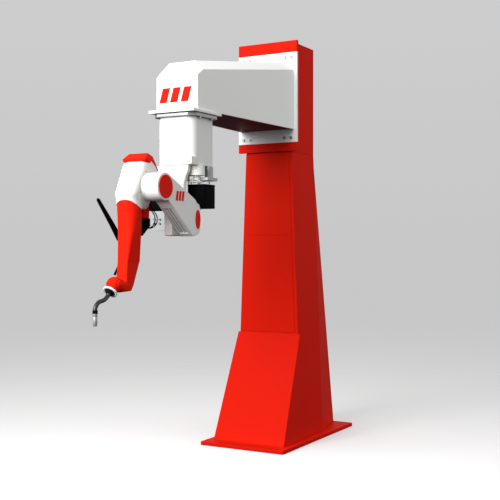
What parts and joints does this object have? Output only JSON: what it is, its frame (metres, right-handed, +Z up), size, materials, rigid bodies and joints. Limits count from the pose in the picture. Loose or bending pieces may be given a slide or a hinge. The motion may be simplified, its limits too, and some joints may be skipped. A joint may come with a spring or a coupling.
{
  "type": "ceiling-hung welding robot arm",
  "caption": "Articulated arc-welding robot arm hung upside down from a cantilever boom on a flared pedestal column, with a swan-neck torch.",
  "frame": {"origin": "centre of the base plate's lower face, on the floor", "axes": "+Z up; the boom reaches toward -Y; the upper arm hangs on the +X side"},
  "size_m": [0.69, 2.9225, 3.029],
  "materials": {
    "red_steel": "semi-gloss red enamel",
    "maroon_steel": "satin dark red enamel",
    "white_steel": "semi-gloss white enamel",
    "white_casting": "semi-gloss white enamel",
    "red_casting": "semi-gloss red enamel",
    "red_plastic": "semi-gloss moulded red",
    "white_ring": "semi-gloss white enamel",
    "cream_casting": "semi-gloss cream enamel",
    "grey_metal": "satin machined",
    "steel": "zinc plated",
    "black_motor": "satin black",
    "black_plastic": "matte black",
    "black_rubber": "matte black",
    "grey_cable": "matte light grey",
    "dark_neck": "satin dark grey",
    "nozzle_metal": "satin nickel",
    "copper_tip": "bare copper"
  },
  "bodies": {
    "column": {"base_plate": "red_steel", "column_shell": "red_steel", "rear_brace": "red_steel", "front_skirt": "red_steel", "upper_front_panel": "red_steel", "lower_front_panel": "red_steel", "mast_tube": "red_steel", "mast_top_plate": "red_steel", "mount_plate": "red_steel", "cap_bar": "red_steel", "shelf_bar": "red_steel", "boom_flange": "white_steel", "boom_flange_bolts": "steel", "boom_shell": "white_steel", "boom_bottom_cover": "maroon_steel", "boom_emblem": "red_plastic", "adapter_plate": "white_steel", "flange_spacer": "black_plastic", "robot_base_flange": "grey_metal", "base_flange_bolts": "steel", "base_pedestal": "white_casting", "pedestal_screws": "steel", "connector_box": "cream_casting", "axis1_bearing": "steel", "axis1_reducer": "steel"},
    "carousel": {"carousel_housing": "white_casting", "axis1_gearbox": "cream_casting", "axis1_brake": "grey_metal", "axis1_motor_flange": "grey_metal", "axis1_motor": "black_motor", "motor_cables": "grey_cable", "axis2_motor": "black_motor", "cable_plate": "grey_metal", "cable_connectors": "steel"},
    "upper_arm": {"upper_arm_casting": "white_casting", "shoulder_shaft": "steel", "shoulder_cap": "red_plastic", "elbow_cap": "red_plastic", "arm_under_cover": "white_casting", "arm_emblem": "red_plastic"},
    "elbow": {"elbow_housing": "white_casting", "elbow_drum": "white_casting", "elbow_shaft": "steel", "elbow_top_cover": "red_plastic", "housing_screws": "steel", "feeder_bracket": "red_casting", "wire_feeder": "black_motor", "hose_conduit": "black_rubber", "feeder_cables": "black_rubber"},
    "forearm": {"forearm_casting": "red_casting", "forearm_spindle": "steel", "wrist_pin": "steel", "cable_boot": "black_rubber"},
    "wrist": {"wrist_knuckle": "red_casting"},
    "torch": {"wrist_ring": "white_ring", "torch_holder": "black_plastic", "torch_neck": "dark_neck", "torch_sleeve": "black_plastic", "gas_nozzle": "nozzle_metal", "contact_tip": "copper_tip"}
  },
  "joints": [
    {"name": "axis_1", "type": "hinge", "parent": "column", "child": "carousel", "pos_m": [0, -1.34, 2.003], "axis": [0, 0, 1], "range_deg": [-135, 135]},
    {"name": "axis_2", "type": "hinge", "parent": "carousel", "child": "upper_arm", "pos_m": [0.1, -1.52, 1.65], "axis": [1, 0, 0], "range_deg": [-35, 75]},
    {"name": "axis_3", "type": "hinge", "parent": "upper_arm", "child": "elbow", "pos_m": [0.1, -1.868, 1.838], "axis": [1, 0, 0], "range_deg": [-110, 15]},
    {"name": "axis_4", "type": "hinge", "parent": "elbow", "child": "forearm", "pos_m": [0, -1.96, 1.75], "axis": [0, 0, 1], "range_deg": [-180, 180]},
    {"name": "axis_5", "type": "hinge", "parent": "forearm", "child": "wrist", "pos_m": [0, -2.108, 1.252], "axis": [1, 0, 0], "range_deg": [-75, 25]},
    {"name": "axis_6", "type": "hinge", "parent": "wrist", "child": "torch", "pos_m": [0, -2.108, 1.252], "axis": [0, -0.7071, -0.7071], "range_deg": [-180, 180]}
  ]
}
